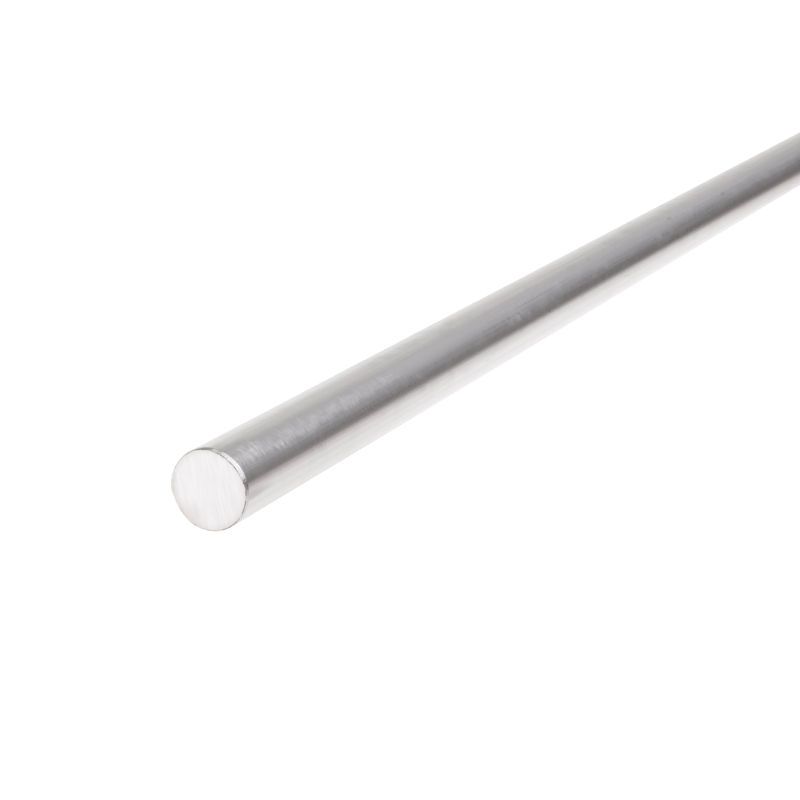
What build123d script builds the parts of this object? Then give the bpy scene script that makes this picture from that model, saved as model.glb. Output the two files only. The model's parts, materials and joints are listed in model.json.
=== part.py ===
"""Round aluminium bar: one length of drawn rod lying on its side along Y.

The origin is on the floor, below the middle of the bar's length, with +Z up.
Both ends are sawn square and deburred. At the front end, which faces -Y, the
bevel was run round the rim by hand, so it is wide on one side and narrow on the
other, and the saw left a crescent of slightly lower metal where it broke through.
All sizes are in millimetres. Angles are in degrees, round the bar's axis from +X
towards +Z.
"""

import os
from math import atan2, degrees

from build123d import *

# Stock size
BAR_DIAMETER = 25.0
BAR_LENGTH = 1000.0

# Front bevel: its length along the bar, its mean width across the end, how far its
# inner edge is off centre, and the angle at which that makes it widest
FRONT_BEVEL_LENGTH = 0.75
FRONT_BEVEL_WIDTH = 0.75
FRONT_BEVEL_SHIFT = 0.2
FRONT_BEVEL_WIDE_AT = 45.0

# Crescent in the front end: its width in from the rim, its fall there, and its angle
CRESCENT_WIDTH = 1.7
CRESCENT_FALL = 0.3
CRESCENT_AT = 192.0

# Back bevel: the same tool, run evenly
BACK_BEVEL = 0.75

BAR_RADIUS = BAR_DIAMETER / 2

# The front end's face, looking out of the bar, with its own X along +X and its Y along +Z
front_face = Plane(origin=(0, -BAR_LENGTH / 2, BAR_RADIUS), x_dir=(1, 0, 0), z_dir=(0, -1, 0))

# The bevel's outer edge goes round the bar here
front_rim = front_face.offset(-FRONT_BEVEL_LENGTH)

# The crescent's plane turns about the crescent's straight inner edge, down to the rim
crescent_tilt = degrees(atan2(CRESCENT_FALL, CRESCENT_WIDTH))
crescent_side = Location((0, 0, 0), (0, 0, CRESCENT_AT))
crescent_edge = Location((BAR_RADIUS - CRESCENT_WIDTH, 0, 0), (0, crescent_tilt, 0))
crescent = Plane(front_face.location * crescent_side * crescent_edge)

with BuildPart() as bar:
    # The drawn round, from the front bevel's outer edge to the back end's face
    with BuildSketch(front_rim):
        Circle(BAR_RADIUS)
    extrude(amount=FRONT_BEVEL_LENGTH - BAR_LENGTH)

    # Even bevel round the back end
    back_rim = bar.edges().filter_by(GeomType.CIRCLE).sort_by(Axis.Y)[-1]
    chamfer(back_rim, BACK_BEVEL)

    # Front bevel, from the whole round down to a smaller circle off its centre
    with BuildSketch(front_rim):
        Circle(BAR_RADIUS)
    with BuildSketch(front_face):
        with PolarLocations(FRONT_BEVEL_SHIFT, 1, FRONT_BEVEL_WIDE_AT + 180, rotate=False):
            Circle(BAR_RADIUS - FRONT_BEVEL_WIDTH)
    loft(ruled=True)

    # Crescent left by the saw
    split(bisect_by=crescent, keep=Keep.BOTTOM)

bar.part.label = "bar"

os.makedirs("parts", exist_ok=True)
export_step(bar.part, "parts/bar.step")
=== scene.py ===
"""Looks of the round aluminium bar: drawn surface, hand-run bevels and sawn ends."""

import json
import math

import bmesh
import bpy
from mathutils import Matrix, Vector


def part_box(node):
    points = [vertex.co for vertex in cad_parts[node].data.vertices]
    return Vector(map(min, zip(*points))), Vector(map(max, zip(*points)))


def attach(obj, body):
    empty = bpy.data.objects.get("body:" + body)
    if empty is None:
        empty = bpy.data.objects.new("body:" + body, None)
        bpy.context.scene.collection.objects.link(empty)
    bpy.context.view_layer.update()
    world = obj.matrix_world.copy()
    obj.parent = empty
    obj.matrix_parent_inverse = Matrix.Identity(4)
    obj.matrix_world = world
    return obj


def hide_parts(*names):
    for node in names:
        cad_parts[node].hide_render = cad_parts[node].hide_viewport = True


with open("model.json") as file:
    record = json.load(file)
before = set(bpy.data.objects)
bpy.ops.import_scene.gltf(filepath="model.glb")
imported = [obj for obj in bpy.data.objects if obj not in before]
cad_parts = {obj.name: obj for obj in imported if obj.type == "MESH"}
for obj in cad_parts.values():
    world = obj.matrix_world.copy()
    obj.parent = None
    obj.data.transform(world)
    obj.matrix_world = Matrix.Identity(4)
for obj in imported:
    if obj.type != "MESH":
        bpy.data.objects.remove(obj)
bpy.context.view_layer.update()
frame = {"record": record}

MM = 0.001

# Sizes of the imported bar, and its axis
bar_low, bar_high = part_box("bar")
shaft = next(m for m in frame["record"]["mounts"] if m["name"] == "shaft")
BAR_RADIUS = shaft["dims"]["r_mm"] * MM
DRAWN_LENGTH = shaft["dims"]["length_mm"] * MM
FRONT_Y = bar_low.y
BACK_Y = bar_high.y
AXIS_HEIGHT = shaft["pos_m"][2]

# Bevels: the drawn surface leaves both this long along the bar, and the back one is even
BEVEL_LENGTH = (BACK_Y - FRONT_Y - DRAWN_LENGTH) / 2
BACK_BEVEL_WIDTH = 0.75 * MM

# Front bevel, run by hand: an angle round the bar in degrees, and the bevel's width across
# the end and its length along the bar there, in millimetres. It all but misses the crescent,
# and below that a file took it further back.
FRONT_BEVEL = [
    (-180, 0.34, 0.42), (-178, 0.34, 0.42), (-154, 0.85, 2.07), (-144, 0.8, 1.96),
    (-118, 0.6, 0.75), (-90, 0.5, 0.65), (-62, 0.32, 0.56), (-40, 0.36, 0.64),
    (-15, 0.56, 0.75), (5, 0.66, 0.75), (20, 0.96, 0.84), (33, 1.18, 0.82),
    (50, 1.17, 0.78), (62, 1.06, 0.78), (76, 0.88, 0.76), (90, 0.58, 0.72),
    (108, 0.31, 0.56), (130, 0.38, 0.62), (146, 0.42, 0.62), (154, 0.4, 0.55),
    (164, 0.34, 0.42), (180, 0.34, 0.42)]

# Crescent where the saw broke through the front end: its width in from the round, its fall
# there, and its angle; and the place beyond which the saw took its last cut
CRESCENT_WIDTH = 1.5 * MM
CRESCENT_FALL = 0.14 * MM
CRESCENT_AT = math.radians(180)
LAST_CUT = -7.0 * MM

# Mesh: steps round the bar, the tiny round that deburring leaves on the edges, the burr
# strip on the front bevel's inner edge, how far from the bevels' edges the loops run, and
# the bend at which an edge is sharp
ROUND_STEPS = 256
EDGE_ROUND = 0.05 * MM
BURR_ROUND = 0.11 * MM
GUARD = 0.14 * MM
SHARP_BEND = math.radians(6)

# How far a face's normal points along the bar, at least, on each finish of the ends
SAWN_FACING = 0.999
TORN_FACING = 0.9
TOOLED_FACING = 0.2

# Die lines on the drawn surface: the gap between them, how far one runs, and its height. The
# real ones are finer, and are drawn as coarse as it takes to show.
FINE_GAP = 0.5 * MM
FINE_RUN = 80 * MM
FINE_HEIGHT = 0.005 * MM
COARSE_GAP = 1.6 * MM
COARSE_RUN = 200 * MM
COARSE_HEIGHT = 0.023 * MM

# Rub marks across the bar: how long one is, the gap between them, and the size of the
# patches that they come in
RUB_LENGTH = 3 * MM
RUB_GAP = 0.7 * MM
PATCH_WIDTH = 7 * MM
PATCH_LENGTH = 12 * MM

# Where the bar was rubbed most: a long patch near the front end, and a spot in it, close
# behind the bevel, where it was rubbed harder still
RUBBED_TURN = math.radians(50)
RUBBED_Y = -0.47
RUBBED_HALF_WIDTH = 3.9 * MM
RUBBED_HALF_LENGTH = 110 * MM
HARD_TURN = math.radians(54)
HARD_Y = -0.49
HARD_HALF_WIDTH = 3.2 * MM
HARD_HALF_LENGTH = 12 * MM

# Marks on the drawn surface: the angle round the bar in degrees and the place along it in
# metres, half the width and half the length in millimetres, the lean in degrees of turn a
# metre, and how dark each is
SURFACE_MARKS = [
    (46.1, -0.2415, 0.16, 49.0, 28.0, 0.45),
    (12.3, -0.2407, 0.5, 0.9, 0.0, 0.6),
    (61.3, -0.1769, 0.6, 2.5, 0.0, 0.25),
    (64.0, -0.194, 0.5, 4.0, 20.0, 0.15),
    (-3.8, -0.1452, 0.5, 7.0, 0.0, 0.15),
    (56.7, -0.0689, 1.2, 5.0, 0.0, 0.2),
    (46.5, 0.0118, 1.2, 6.0, 0.0, 0.2),
    (-8.7, -0.3073, 0.5, 3.0, 0.0, 0.15),
    # Darker patches along the front end; the last, on the right, is a painted shade that deepens
    # the dark reflection there
    (71.0, -0.5, 2.1, 24.0, 0.0, 0.17),
    (84.0, -0.5, 2.4, 10.0, 0.0, 0.16),
    (-3.5, -0.499, 2.2, 20.0, 0.0, 0.27),
]

# Ripples that the deburring tool left: their spacing and height
RIPPLE_GAP = 0.5 * MM
RIPPLE_HEIGHT = 0.03 * MM

# Saw lines on the ends: their gap, how far one runs, their height and their lean; the
# blotches on the last of the cut, across and along the lines; and the tear in the crescent
SAW_GAP = 0.7 * MM
SAW_RUN = 6 * MM
SAW_HEIGHT = 0.02 * MM
SAW_LEAN = math.radians(12)
BLOTCH_WIDTH = 1.5 * MM
BLOTCH_LENGTH = 3 * MM
TEAR_GAP = 0.5 * MM
TEAR_RUN = 1.5 * MM
TEAR_HEIGHT = 0.03 * MM

# Length of the pieces that the burr on the front bevel's inner edge broke into
BURR_PIECE = 1.4 * MM

# Studio floor: its radius, how far right of the bar the painted reflection that it shows the
# metal stays pale, level with the front half and well behind it, and how much nearer that
# begins below the front end
FLOOR_RADIUS = 12.0
PALE_NEAR = 0.172
PALE_FAR = 0.052
FRONT_SHADE = 0.014

# Softbox: its direction and distance from the bar's front end, its sizes and its radiance
BOX_WAY = Vector((0.24, -0.62, 0.747)).normalized()
BOX_DISTANCE = 0.85
BOX_TALL = 1.39
BOX_WIDE = 0.8
BOX_RADIANCE = 0.55

# Camera: its heading and pitch, where the front end's centre lies in its view, and the
# nearest and farthest that it sees
PHOTO_FOCAL = 2500.0
PHOTO_SIZE = 800.0
SENSOR = 36.0
CAMERA_HEADING = math.radians(22.737)
CAMERA_PITCH = math.radians(14.0)
END_RIGHT = -0.05488
END_UP = -0.02588
END_AHEAD = 0.71727
SEEN_FROM = 0.05
SEEN_TO = 100

# A Mix node's sockets for colours: the two that it mixes, and the outcome
FIRST, SECOND, MIXED = 6, 7, 2

# The mesh's materials, in the order of its slots
DRAWN, TOOLED, SAWN, TORN, BURR = range(5)


def linear(hex_colour):
    """An sRGB hex value as the linear RGBA that Blender's sockets take."""
    parts = [int(hex_colour[i : i + 2], 16) / 255 for i in (1, 3, 5)]
    return [p / 12.92 if p <= 0.04045 else ((p + 0.055) / 1.055) ** 2.4 for p in parts] + [1.0]


def add(tree, kind, inputs=None, stops=None, **settings):
    """Adds a node with its settings and links. An input takes a value, or another node's
    output to link; stops are a ramp's pairs of place and sRGB hex colour."""
    made = tree.nodes.new("ShaderNode" + kind)
    for name, value in settings.items():
        setattr(made, name, value)
    for socket, value in (inputs or {}).items():
        if isinstance(value, bpy.types.NodeSocket):
            tree.links.new(value, made.inputs[socket])
        else:
            made.inputs[socket].default_value = value
    if stops:
        ramp = made.color_ramp.elements
        ramp.remove(ramp[1])
        ramp[0].position, ramp[0].color = stops[0][0], linear(stops[0][1])
        for position, colour in stops[1:]:
            ramp.new(position).color = linear(colour)
    return made


def around(turn, radius, y):
    """The point at an angle round the bar from +X to +Z, a distance from its axis and a place
    along it."""
    return Vector((radius * math.cos(turn), y, AXIS_HEIGHT + radius * math.sin(turn)))


def new_material(name):
    """A material with an empty node tree, and the place on its piece."""
    material = bpy.data.materials.new(name)
    material.use_nodes = True
    tree = material.node_tree
    tree.nodes.clear()
    return material, tree, add(tree, "TexCoord").outputs["Object"]


def share_of_turn(tree, place):
    """How far round the bar a place is, from 0 at -X by way of -Z to 1 at -X again."""
    centred = add(tree, "Mapping", {"Vector": place, "Location": (0, 0, -AXIS_HEIGHT)})
    split = add(tree, "SeparateXYZ", {0: centred.outputs[0]})
    turn = add(tree, "Math", {0: split.outputs["Z"], 1: split.outputs["X"]}, operation="ARCTAN2")
    whole = add(tree, "MapRange", {
        "Value": turn.outputs[0], "From Min": -math.pi, "From Max": math.pi})
    return whole.outputs[0]


def drawn_aluminium():
    """Mill-finish aluminium, drawn through a die: fine lines along the bar, which blur what
    the bar mirrors a little, and faint rub marks across it, which blur it along its length."""
    material, tree, place = new_material("drawn_aluminium")

    # Die lines, fine ones and coarser ones
    fine_place = add(tree, "Mapping", {
        "Vector": place, "Scale": (1 / FINE_GAP, 1 / FINE_RUN, 1 / FINE_GAP)})
    fine = add(tree, "TexNoise", {"Vector": fine_place.outputs[0], "Scale": 1.0, "Detail": 1.0})
    coarse_place = add(tree, "Mapping", {
        "Vector": place, "Scale": (1 / COARSE_GAP, 1 / COARSE_RUN, 1 / COARSE_GAP)})
    coarse = add(tree, "TexNoise", {
        "Vector": coarse_place.outputs[0], "Scale": 1.0, "Detail": 1.0})
    bump_fine = add(tree, "Bump", {"Height": fine.outputs["Fac"], "Distance": FINE_HEIGHT})
    bump_coarse = add(tree, "Bump", {
        "Height": coarse.outputs["Fac"], "Distance": COARSE_HEIGHT,
        "Normal": bump_fine.outputs[0]})

    # Rub marks across the bar, faint all over and strong in the rubbed patch
    rub_place = add(tree, "Mapping", {
        "Vector": place, "Scale": (1 / RUB_LENGTH, 1 / RUB_GAP, 1 / RUB_LENGTH)})
    rub = add(tree, "TexNoise", {"Vector": rub_place.outputs[0], "Scale": 1.0, "Detail": 1.0})
    streaks = add(tree, "MapRange", {
        "Value": rub.outputs["Fac"], "From Min": 0.42, "From Max": 0.68,
        "To Min": 0.11, "To Max": 0.77})
    patch_place = add(tree, "Mapping", {
        "Vector": place, "Scale": (1 / PATCH_WIDTH, 1 / PATCH_LENGTH, 1 / PATCH_WIDTH)})
    patch = add(tree, "TexNoise", {"Vector": patch_place.outputs[0], "Scale": 1.0, "Detail": 1.0})
    rubbed_place = add(tree, "Mapping", {
        "Vector": place, "Location": around(RUBBED_TURN, BAR_RADIUS, RUBBED_Y),
        "Scale": (RUBBED_HALF_WIDTH, RUBBED_HALF_LENGTH, RUBBED_HALF_WIDTH)},
        vector_type="TEXTURE")
    off_rubbed = add(tree, "VectorMath", {0: rubbed_place.outputs[0]}, operation="LENGTH")
    most = add(tree, "MapRange", {
        "Value": off_rubbed.outputs["Value"], "From Min": 1.2, "From Max": 0.4, "To Max": 0.6},
        interpolation_type="SMOOTHSTEP")
    handled = add(tree, "Math", {0: patch.outputs["Fac"], 1: most.outputs[0]}, operation="ADD")
    rubbed = add(tree, "MapRange", {
        "Value": handled.outputs[0], "From Min": 0.55, "From Max": 1.1, "To Min": 0.12})
    hard_place = add(tree, "Mapping", {
        "Vector": place, "Location": around(HARD_TURN, BAR_RADIUS, HARD_Y),
        "Scale": (HARD_HALF_WIDTH, HARD_HALF_LENGTH, HARD_HALF_WIDTH)}, vector_type="TEXTURE")
    off_hard = add(tree, "VectorMath", {0: hard_place.outputs[0]}, operation="LENGTH")
    hard = add(tree, "MapRange", {
        "Value": off_hard.outputs["Value"], "From Min": 1.0, "From Max": 0.3, "To Max": 2.0},
        interpolation_type="SMOOTHSTEP")
    strength = add(tree, "Math", {0: rubbed.outputs[0], 1: hard.outputs[0]}, operation="ADD")
    scuffs = add(tree, "Math", {0: streaks.outputs[0], 1: strength.outputs[0]},
                 operation="MULTIPLY")

    # The rub marks scatter more light, and every other line a little more than the next;
    # between the rub marks the metal is a little duller
    line_rough = add(tree, "MapRange", {
        "Value": fine.outputs["Fac"], "From Min": 0.3, "From Max": 0.7,
        "To Min": 0.26, "To Max": 0.3})
    rough = add(tree, "Math", {0: scuffs.outputs[0], 1: 0.38, 2: line_rough.outputs[0]},
                operation="MULTIPLY_ADD")
    between = add(tree, "Math", {0: rubbed.outputs[0], 1: scuffs.outputs[0]},
                  operation="SUBTRACT")
    marked = add(tree, "Math", {0: between.outputs[0], 1: 0.12}, operation="MULTIPLY")
    shade = add(tree, "MapRange", {
        "Value": coarse.outputs["Fac"], "From Min": 0.3, "From Max": 0.7})
    colour = add(tree, "Mix", {
        "Factor": shade.outputs[0], FIRST: linear("#f3f2f2"), SECOND: linear("#fbfafa")},
        data_type="RGBA")

    # The scratch, the nick and the smudges that the bar was left with, and three darker patches
    # at the front end, of which the one on the right is a painted shade that deepens the dark
    # reflection there
    for turn, y, half_width, half_length, lean, depth in SURFACE_MARKS:
        spot = around(math.radians(turn), BAR_RADIUS, y)
        slope = math.radians(lean)
        spot_place = add(tree, "Mapping", {
            "Vector": place, "Location": spot,
            "Rotation": (slope * spot.x, 0, slope * (spot.z - AXIS_HEIGHT)),
            "Scale": (half_width * MM, half_length * MM, half_width * MM)},
            vector_type="TEXTURE")
        off_spot = add(tree, "VectorMath", {0: spot_place.outputs[0]}, operation="LENGTH")
        tone = add(tree, "MapRange", {
            "Value": off_spot.outputs["Value"], "From Min": 1.0, "From Max": 0.2,
            "To Max": depth}, interpolation_type="SMOOTHSTEP")
        marked = add(tree, "Math", {0: tone.outputs[0], 1: marked.outputs[0]},
                     operation="MAXIMUM")
    soiled_and_shaded = add(tree, "Mix", {
        "Factor": marked.outputs[0], FIRST: colour.outputs[MIXED], SECOND: linear("#5e5b59")},
        data_type="RGBA")

    tangent = add(tree, "Tangent", direction_type="RADIAL", axis="Y")
    metal = add(tree, "BsdfPrincipled", {
        "Base Color": soiled_and_shaded.outputs[MIXED], "Metallic": 1.0, "Roughness": rough.outputs[0],
        "Normal": bump_coarse.outputs[0], "Anisotropic": 0.8, "Anisotropic Rotation": 0.25,
        "Tangent": tangent.outputs[0]})
    add(tree, "OutputMaterial", {"Surface": metal.outputs[0]})
    return material


def tooled_aluminium():
    """Aluminium cut by a hand-held deburring tool: bright, with small ripples, with a few dark
    notches where the tool caught, and with a painted shade on its right side that deepens the
    dark reflection there."""
    material, tree, place = new_material("tooled_aluminium")
    chatter_place = add(tree, "Mapping", {"Vector": place, "Scale": (1 / RIPPLE_GAP,) * 3})
    chatter = add(tree, "TexNoise", {
        "Vector": chatter_place.outputs[0], "Scale": 1.0, "Detail": 2.0})
    bump = add(tree, "Bump", {"Height": chatter.outputs["Fac"], "Distance": RIPPLE_HEIGHT})
    shade = add(tree, "MapRange", {
        "Value": chatter.outputs["Fac"], "From Min": 0.35, "From Max": 0.65})
    colour = add(tree, "Mix", {
        "Factor": shade.outputs[0], FIRST: linear("#dedddc"), SECOND: linear("#efeeed")},
        data_type="RGBA")

    # Nicks high on the right, by their place round the bar; lower on the right, from 8 to 22
    # degrees, a painted shade that deepens the bevel's dark reflection
    nicks_and_painted_shade = add(tree, "ValToRGB", {0: share_of_turn(tree, place)}, stops=[
        (0.522, "#ffffff"), (0.536, "#d2d0ce"), (0.546, "#bcbab8"), (0.552, "#ffffff"),
        (0.556, "#bcbab8"), (0.561, "#ffffff"), (0.694, "#ffffff"), (0.698, "#d0cecc"),
        (0.7015, "#ffffff"), (0.705, "#bebcba"), (0.7085, "#ffffff"), (0.713, "#eceae8"),
        (0.717, "#ffffff")])
    nicked_and_shaded = add(tree, "Mix", {
        "Factor": 1.0, FIRST: colour.outputs[MIXED], SECOND: nicks_and_painted_shade.outputs["Color"]},
        data_type="RGBA", blend_type="MULTIPLY")
    metal = add(tree, "BsdfPrincipled", {
        "Base Color": nicked_and_shaded.outputs[MIXED], "Metallic": 1.0, "Roughness": 0.3,
        "Normal": bump.outputs[0]})
    add(tree, "OutputMaterial", {"Surface": metal.outputs[0]})
    return material


def sawn_aluminium():
    """Aluminium cut by a band saw: a pale satin face with soft, straight lines, which
    dulls towards its rim, most of all low on the left, where the saw came out."""
    material, tree, place = new_material("sawn_aluminium")
    lean = add(tree, "Mapping", {"Vector": place, "Rotation": (0, SAW_LEAN, 0)})
    lines_place = add(tree, "Mapping", {
        "Vector": lean.outputs[0], "Scale": (1 / SAW_GAP, 1.0, 1 / SAW_RUN)})
    lines = add(tree, "TexNoise", {"Vector": lines_place.outputs[0], "Scale": 1.0, "Detail": 3.0})
    bump = add(tree, "Bump", {"Height": lines.outputs["Fac"], "Distance": SAW_HEIGHT})
    shade = add(tree, "MapRange", {
        "Value": lines.outputs["Fac"], "From Min": 0.3, "From Max": 0.7})
    bright = add(tree, "Mix", {
        "Factor": shade.outputs[0], FIRST: linear("#f7f5f6"), SECOND: linear("#fffefe")},
        data_type="RGBA")

    # How near the rim, and how near the low side
    centred = add(tree, "Mapping", {"Vector": place, "Location": (0, 0, -AXIS_HEIGHT)})
    flat = add(tree, "VectorMath", {0: centred.outputs[0], 1: (1, 0, 1)}, operation="MULTIPLY")
    reach = add(tree, "VectorMath", {0: flat.outputs[0]}, operation="LENGTH")
    rim = add(tree, "MapRange", {
        "Value": reach.outputs["Value"], "From Min": 9.8 * MM, "From Max": 12.2 * MM},
        interpolation_type="SMOOTHSTEP")
    off_low = add(tree, "VectorMath", {0: centred.outputs[0], 1: (-6.5 * MM, FRONT_Y, -9 * MM)},
                  operation="DISTANCE")
    low = add(tree, "MapRange", {
        "Value": off_low.outputs["Value"], "From Min": 7 * MM, "From Max": 1 * MM},
        interpolation_type="SMOOTHSTEP")
    low_worn = add(tree, "Math", {0: low.outputs[0], 1: 0.5}, operation="MULTIPLY")

    # The last of the cut, left of a faint upright line, is duller as well, in blotches
    split = add(tree, "SeparateXYZ", {0: lean.outputs[0]})
    last = add(tree, "MapRange", {
        "Value": split.outputs["X"], "From Min": LAST_CUT + 0.4 * MM,
        "From Max": LAST_CUT - 0.4 * MM, "To Max": 0.5}, interpolation_type="SMOOTHSTEP")
    blotch_place = add(tree, "Mapping", {
        "Vector": place, "Scale": (1 / BLOTCH_WIDTH, 1.0, 1 / BLOTCH_LENGTH)})
    blotch = add(tree, "TexNoise", {
        "Vector": blotch_place.outputs[0], "Scale": 1.0, "Detail": 2.0})
    last_worn = add(tree, "Math", {
        0: last.outputs[0], 1: blotch.outputs["Fac"], 2: low_worn.outputs[0]},
        operation="MULTIPLY_ADD")
    worn = add(tree, "Math", {0: rim.outputs[0], 1: 0.35, 2: last_worn.outputs[0]},
               operation="MULTIPLY_ADD", use_clamp=True)
    colour = add(tree, "Mix", {
        "Factor": worn.outputs[0], FIRST: bright.outputs[MIXED], SECOND: linear("#e3dcd9")},
        data_type="RGBA")
    metal = add(tree, "BsdfPrincipled", {
        "Base Color": colour.outputs[MIXED], "Metallic": 1.0, "Roughness": 0.42,
        "Normal": bump.outputs[0]})
    add(tree, "OutputMaterial", {"Surface": metal.outputs[0]})
    return material


def torn_aluminium():
    """Aluminium torn where the saw broke through: duller and rougher than the sawn face."""
    material, tree, place = new_material("torn_aluminium")
    tear_place = add(tree, "Mapping", {
        "Vector": place, "Scale": (1 / TEAR_GAP, 1.0, 1 / TEAR_RUN)})
    tear = add(tree, "TexNoise", {"Vector": tear_place.outputs[0], "Scale": 1.0, "Detail": 2.0})
    bump = add(tree, "Bump", {"Height": tear.outputs["Fac"], "Distance": TEAR_HEIGHT})
    shade = add(tree, "MapRange", {
        "Value": tear.outputs["Fac"], "From Min": 0.35, "From Max": 0.65})
    colour = add(tree, "Mix", {
        "Factor": shade.outputs[0], FIRST: linear("#e9e6e6"), SECOND: linear("#f5f2f2")},
        data_type="RGBA")
    metal = add(tree, "BsdfPrincipled", {
        "Base Color": colour.outputs[MIXED], "Metallic": 1.0, "Roughness": 0.5,
        "Normal": bump.outputs[0]})
    add(tree, "OutputMaterial", {"Surface": metal.outputs[0]})
    return material


def burr_and_painted_shadow():
    """A raised thread of metal that the tool left on the bevel's inner edge: dark and broken
    where it is left, partly as a painted shadow that it casts in the gap under it, and as
    bright as the faces where it was knocked off."""
    material, tree, place = new_material("burr_and_painted_shadow")

    # How much of the burr and its painted shadow is left, by the place round the bar
    burr_and_shadow_by_turn = add(tree, "ValToRGB", {0: share_of_turn(tree, place)}, stops=[
        (0.0, "#606060"), (0.30, "#909090"), (0.32, "#ffffff"), (0.37, "#ffffff"),
        (0.39, "#909090"), (0.415, "#c8c8c8"), (0.465, "#ffffff"), (0.48, "#909090"),
        (0.50, "#ffffff"), (0.56, "#a0a0a0"), (0.62, "#c8c8c8"), (0.71, "#d0d0d0"),
        (0.75, "#707070"), (0.79, "#b0b0b0"), (0.85, "#b0b0b0"), (0.88, "#606060")])
    pieces_place = add(tree, "Mapping", {"Vector": place, "Scale": (1 / BURR_PIECE,) * 3})
    pieces = add(tree, "TexNoise", {
        "Vector": pieces_place.outputs[0], "Scale": 1.0, "Detail": 2.0})
    burr_and_shadow_pieces = add(tree, "Math", {
        0: burr_and_shadow_by_turn.outputs["Color"], 1: 0.28, 2: pieces.outputs["Fac"]},
        operation="MULTIPLY_ADD")
    dark = add(tree, "MapRange", {
        "Value": burr_and_shadow_pieces.outputs[0], "From Min": 0.62, "From Max": 0.74})
    colour = add(tree, "Mix", {
        "Factor": dark.outputs[0], FIRST: linear("#dad6d3"), SECOND: linear("#5c5a58")},
        data_type="RGBA")
    metal = add(tree, "BsdfPrincipled", {
        "Base Color": colour.outputs[MIXED], "Metallic": 1.0, "Roughness": 0.5})
    add(tree, "OutputMaterial", {"Surface": metal.outputs[0]})
    return material


def front_bevel(turn):
    """Width across the end and length along the bar of the hand-run bevel, at an angle."""
    at = math.degrees(turn)
    for (start, *first), (end, *last) in zip(FRONT_BEVEL, FRONT_BEVEL[1:]):
        if at <= end:
            break
    along = min((at - start) / (end - start), 1.0)
    eased = along * along * (3 - 2 * along)
    return [(one + (other - one) * eased) * MM for one, other in zip(first, last)]


def front_point(turn, share):
    """The front end's point at an angle, a share of the way from the bevel's inner edge to its
    outer one. The inner edge drops with the crescent, and beyond 1 lies the drawn surface."""
    width, length = front_bevel(turn)
    inner = BAR_RADIUS - width
    beyond = inner * math.cos(turn - CRESCENT_AT) - (BAR_RADIUS - CRESCENT_WIDTH)
    fall = max(beyond, 0) * CRESCENT_FALL / CRESCENT_WIDTH
    radius = min(inner + width * share, BAR_RADIUS)
    return around(turn, radius, FRONT_Y + fall + (length - fall) * share)


def back_point(turn, share):
    """The back end's point at an angle, in the same way, on its even bevel."""
    inner = BAR_RADIUS - BACK_BEVEL_WIDTH
    radius = min(inner + BACK_BEVEL_WIDTH * share, BAR_RADIUS)
    return around(turn, radius, BACK_Y - BEVEL_LENGTH * share)


def angle_of(vert):
    """The angle round the bar at which a vertex lies."""
    return math.atan2(vert.co.z - AXIS_HEIGHT, vert.co.x)


def grow_ring(bm, edges, point, share):
    """Extrudes a ring of edges to where point puts it, for that share."""
    grown = bmesh.ops.extrude_edge_only(bm, edges=edges)["geom"]
    verts = [g for g in grown if isinstance(g, bmesh.types.BMVert)]
    for vert in verts:
        vert.co = point(angle_of(vert), share)
    return [g for g in grown
            if isinstance(g, bmesh.types.BMEdge) and all(v in verts for v in g.verts)]


def round_bar():
    """The bar as one closed mesh, from the front end back along the drawn round."""
    bm = bmesh.new()
    facing = (Matrix.Translation(Vector((0, FRONT_Y, AXIS_HEIGHT)))
              @ Matrix.Rotation(math.pi / 2, 4, "X"))
    bmesh.ops.create_circle(bm, cap_ends=True, segments=ROUND_STEPS, radius=BAR_RADIUS,
                            matrix=facing)

    # The sawn face out to the bevel, parted along the crescent's straight edge, from which
    # the crescent then drops
    for vert in bm.verts:
        vert.co = front_point(angle_of(vert), 0)
        vert.co.y = FRONT_Y
    bmesh.ops.bisect_plane(bm, geom=list(bm.verts) + list(bm.edges) + list(bm.faces),
                           plane_co=around(CRESCENT_AT, BAR_RADIUS - CRESCENT_WIDTH, FRONT_Y),
                           plane_no=around(CRESCENT_AT, 1, 0) - around(CRESCENT_AT, 0, 0))
    for vert in bm.verts:
        vert.co = front_point(angle_of(vert), 0)

    # Rings along the bar, with loops near the bevels' edges that keep each surface's own
    # shading
    near = GUARD / BEVEL_LENGTH
    ring = [e for e in bm.edges if e.is_boundary]
    for share in (near, 1 - near, 1, 1 + near):
        ring = grow_ring(bm, ring, front_point, share)
    for share in (1 + near, 1, 1 - near, near, 0):
        ring = grow_ring(bm, ring, back_point, share)
    bmesh.ops.contextual_create(bm, geom=ring)
    bmesh.ops.recalc_face_normals(bm, faces=bm.faces)

    for face in bm.faces:
        along_bar = abs(face.normal.y)
        if len(face.verts) > 4 and along_bar > TORN_FACING:
            face.material_index = SAWN if along_bar > SAWN_FACING else TORN
        else:
            face.material_index = TOOLED if along_bar > TOOLED_FACING else DRAWN

    # A burr strip on the front bevel's inner edge, and a tiny round on every other edge
    sharp = [e for e in bm.edges
             if len(e.link_faces) == 2 and e.calc_face_angle() > SHARP_BEND]
    burr = [e for e in sharp
            if {f.material_index for f in e.link_faces} == {SAWN, TOOLED}
            and e.verts[0].co.y < 0]
    rest = [e for e in sharp if e not in burr]
    bmesh.ops.bevel(bm, geom=rest, offset=EDGE_ROUND, segments=2, profile=0.5, affect="EDGES",
                    material=-1)
    burr = [e for e in burr if e.is_valid]
    bmesh.ops.bevel(bm, geom=burr, offset=BURR_ROUND, segments=2, profile=0.5, affect="EDGES",
                    material=BURR)
    for face in bm.faces:
        face.smooth = len(face.verts) <= 4
    mesh = bpy.data.meshes.new("round_bar")
    bm.to_mesh(mesh)
    bm.free()
    bar = bpy.data.objects.new("round_bar", mesh)
    bpy.context.scene.collection.objects.link(bar)
    return bar


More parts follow.
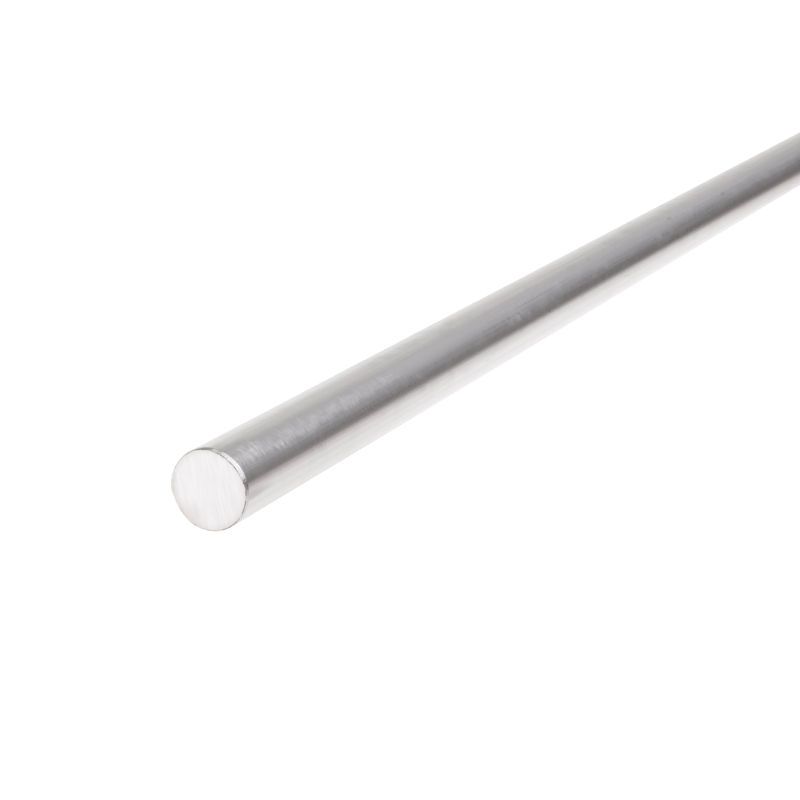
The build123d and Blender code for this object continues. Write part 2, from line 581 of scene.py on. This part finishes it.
def studio_floor():
    """A wide white table top, which the bar shades only faintly. Rays mirrored by the metal see
    it instead glow with a painted reflection that darkens to the right of the bar."""
    bm = bmesh.new()
    bmesh.ops.create_circle(bm, cap_ends=True, segments=96, radius=FLOOR_RADIUS)
    mesh = bpy.data.meshes.new("studio_floor")
    bm.to_mesh(mesh)
    bm.free()
    floor = bpy.data.objects.new("studio_floor", mesh)
    bpy.context.scene.collection.objects.link(floor)

    material, tree, place = new_material("white_table")
    across = add(tree, "SeparateXYZ", {0: place})
    pale_to = add(tree, "MapRange", {
        "Value": across.outputs["Y"], "From Min": -0.2, "From Max": 0.25,
        "To Min": PALE_NEAR, "To Max": PALE_FAR}, interpolation_type="SMOOTHSTEP")
    below = add(tree, "MapRange", {
        "Value": across.outputs["Y"], "From Min": -0.33, "From Max": -0.42,
        "To Max": FRONT_SHADE})
    outward = add(tree, "Math", {0: across.outputs["X"], 1: below.outputs[0]}, operation="ADD")
    share = add(tree, "Math", {0: outward.outputs[0], 1: pale_to.outputs[0]},
                operation="DIVIDE")
    fading = add(tree, "MapRange", {
        "Value": share.outputs[0], "From Min": 0.0, "From Max": 1.6})
    # Painted reflection that the metal mirrors: pale close to the bar, darker further right
    painted_reflection = add(tree, "ValToRGB", {0: fading.outputs[0]}, stops=[
        (0.02, "#ffffff"), (0.031, "#fcfbfb"), (0.05, "#f9f8f8"), (0.075, "#f7f5f5"),
        (0.1, "#f1efef"), (0.125, "#eeecec"), (0.169, "#e8e5e5"), (0.225, "#e3dfde"),
        (0.3, "#dad5d3"), (0.4, "#c9c3c1"), (0.5, "#9c9592"), (0.6, "#78716f"),
        (0.72, "#696563"), (1.0, "#656160")])

    glow = add(tree, "Emission", {"Color": linear("#ffffff"), "Strength": 0.89})
    matt = add(tree, "BsdfDiffuse", {"Color": linear("#a3a3a3")})
    in_view = add(tree, "AddShader", {0: glow.outputs[0], 1: matt.outputs[0]})
    painted_reflection_glow = add(tree, "Emission", {"Color": painted_reflection.outputs["Color"]})
    plain = add(tree, "BsdfDiffuse", {"Color": linear("#e7e7e7")})
    path = add(tree, "LightPath")
    mirror_rays = add(tree, "Math", {
        0: path.outputs["Is Glossy Ray"], 1: path.outputs["Is Transmission Ray"]},
        operation="MAXIMUM")
    unseen = add(tree, "MixShader", {
        0: mirror_rays.outputs[0], 1: plain.outputs[0], 2: painted_reflection_glow.outputs[0]})
    seen = add(tree, "MixShader", {
        0: path.outputs["Is Camera Ray"], 1: unseen.outputs[0], 2: in_view.outputs[0]})
    add(tree, "OutputMaterial", {"Surface": seen.outputs[0]})
    mesh.materials.append(material)


def studio_world():
    """Soft surroundings that brighten round the bar from dark at its right to pale at its
    left, with a dim ceiling, and that are lighter at the right nearer the bar's front end.
    Past the front end they are dim high on the left, which only views from behind mirror.
    The camera itself sees plain white."""
    world = bpy.data.worlds.new("studio")
    bpy.context.scene.world = world
    world.use_nodes = True
    tree = world.node_tree
    tree.nodes.clear()
    way = add(tree, "SeparateXYZ", {0: add(tree, "TexCoord").outputs["Generated"]})
    turn = add(tree, "Math", {0: way.outputs["Z"], 1: way.outputs["X"]}, operation="ARCTAN2")
    half_turn = add(tree, "MapRange", {
        "Value": turn.outputs[0], "From Min": 0.0, "From Max": math.pi})

    # Round the bar from right to left: far beyond its back end, nearer its front end, and
    # past that end
    beyond = add(tree, "ValToRGB", {0: half_turn.outputs[0]}, stops=[
        (0.0, "#656160"), (0.09, "#555151"), (0.22, "#646163"), (0.3, "#7f7c7f"),
        (0.42, "#aaa7a9"), (0.64, "#d9d6d5"), (0.75, "#e8e5e5"), (0.82, "#f4f2f2"),
        (0.89, "#ffffff")])
    nearer = add(tree, "ValToRGB", {0: half_turn.outputs[0]}, stops=[
        (0.0, "#6a6664"), (0.04, "#777372"), (0.1, "#bab7b9"), (0.16, "#d9d7db"),
        (0.24, "#eae8ec"), (0.3, "#edebf0"), (0.37, "#dedce0"), (0.5, "#b8b5b6"),
        (0.64, "#c6c3c3"), (0.75, "#d5d2d2"), (0.82, "#e0dede"), (0.89, "#ebe9e9"),
        (0.95, "#ffffff")])
    past = add(tree, "ValToRGB", {0: half_turn.outputs[0]}, stops=[
        (0.0, "#6a6664"), (0.1, "#bab7b9"), (0.24, "#eae8ec"), (0.37, "#dedce0"),
        (0.5, "#b8b5b6"), (0.56, "#bab7b8"), (0.66, "#918e8d"), (0.8, "#7d7a79"),
        (0.9, "#cfcccb"), (1.0, "#ffffff")])
    nearness = add(tree, "MapRange", {
        "Value": way.outputs["Y"], "From Min": 0.88, "From Max": 0.66},
        interpolation_type="SMOOTHSTEP")
    pastness = add(tree, "MapRange", {
        "Value": way.outputs["Y"], "From Min": -0.4, "From Max": -0.62},
        interpolation_type="SMOOTHSTEP")
    front = add(tree, "Mix", {
        "Factor": pastness.outputs[0], FIRST: nearer.outputs["Color"],
        SECOND: past.outputs["Color"]}, data_type="RGBA")
    ring = add(tree, "Mix", {
        "Factor": nearness.outputs[0], FIRST: beyond.outputs["Color"],
        SECOND: front.outputs[MIXED]}, data_type="RGBA")
    ceiling = add(tree, "MapRange", {
        "Value": way.outputs["Z"], "From Min": 0.65, "From Max": 0.9,
        "To Min": 1.0, "To Max": 0.5}, interpolation_type="SMOOTHSTEP")
    soft = add(tree, "Background", {"Color": ring.outputs[MIXED], "Strength": ceiling.outputs[0]})
    white = add(tree, "Background", {"Color": linear("#ffffff")})
    path = add(tree, "LightPath")
    seen = add(tree, "MixShader", {
        0: path.outputs["Is Camera Ray"], 1: soft.outputs[0], 2: white.outputs[0]})
    add(tree, "OutputWorld", {"Surface": seen.outputs[0]})


def softbox():
    """One tall softbox on the right, near the bar's front end."""
    lamp = bpy.data.lights.new("softbox", "AREA")
    lamp.shape = "RECTANGLE"
    lamp.size, lamp.size_y = BOX_WIDE, BOX_TALL
    lamp.energy = BOX_RADIANCE * math.pi * BOX_WIDE * BOX_TALL
    box = bpy.data.objects.new("softbox", lamp)
    box.location = Vector((0, FRONT_Y, AXIS_HEIGHT)) + BOX_WAY * BOX_DISTANCE
    # Its width runs along the bar
    across = (Vector((0, 1, 0)) - BOX_WAY * BOX_WAY.y).normalized()
    tall = BOX_WAY.cross(across)
    box.rotation_mode = "QUATERNION"
    box.rotation_quaternion = Matrix((across, tall, BOX_WAY)).transposed().to_quaternion()
    bpy.context.scene.collection.objects.link(box)


def photo_camera():
    """The photograph's viewpoint, set from where the front end's centre lies in its view."""
    heading = Vector((-math.sin(CAMERA_HEADING), math.cos(CAMERA_HEADING), 0))
    right = Vector((math.cos(CAMERA_HEADING), math.sin(CAMERA_HEADING), 0))
    ahead = heading * math.cos(CAMERA_PITCH) - Vector((0, 0, math.sin(CAMERA_PITCH)))
    up = right.cross(ahead)
    lens = bpy.data.cameras.new("photo_camera")
    lens.sensor_width = SENSOR
    lens.lens = PHOTO_FOCAL / PHOTO_SIZE * SENSOR
    lens.clip_start, lens.clip_end = SEEN_FROM, SEEN_TO
    camera = bpy.data.objects.new("photo_camera", lens)
    end = Vector((0, FRONT_Y, AXIS_HEIGHT))
    camera.location = end - right * END_RIGHT - up * END_UP - ahead * END_AHEAD
    camera.rotation_mode = "QUATERNION"
    camera.rotation_quaternion = Matrix((right, up, -ahead)).transposed().to_quaternion()
    bpy.context.scene.collection.objects.link(camera)
    bpy.context.scene.camera = camera


bar = round_bar()
for finish in (drawn_aluminium(), tooled_aluminium(), sawn_aluminium(), torn_aluminium(),
               burr_and_painted_shadow()):
    bar.data.materials.append(finish)
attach(bar, "root")
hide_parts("bar")

studio_floor()
studio_world()
softbox()
photo_camera()
bpy.context.scene.view_settings.view_transform = "Standard"
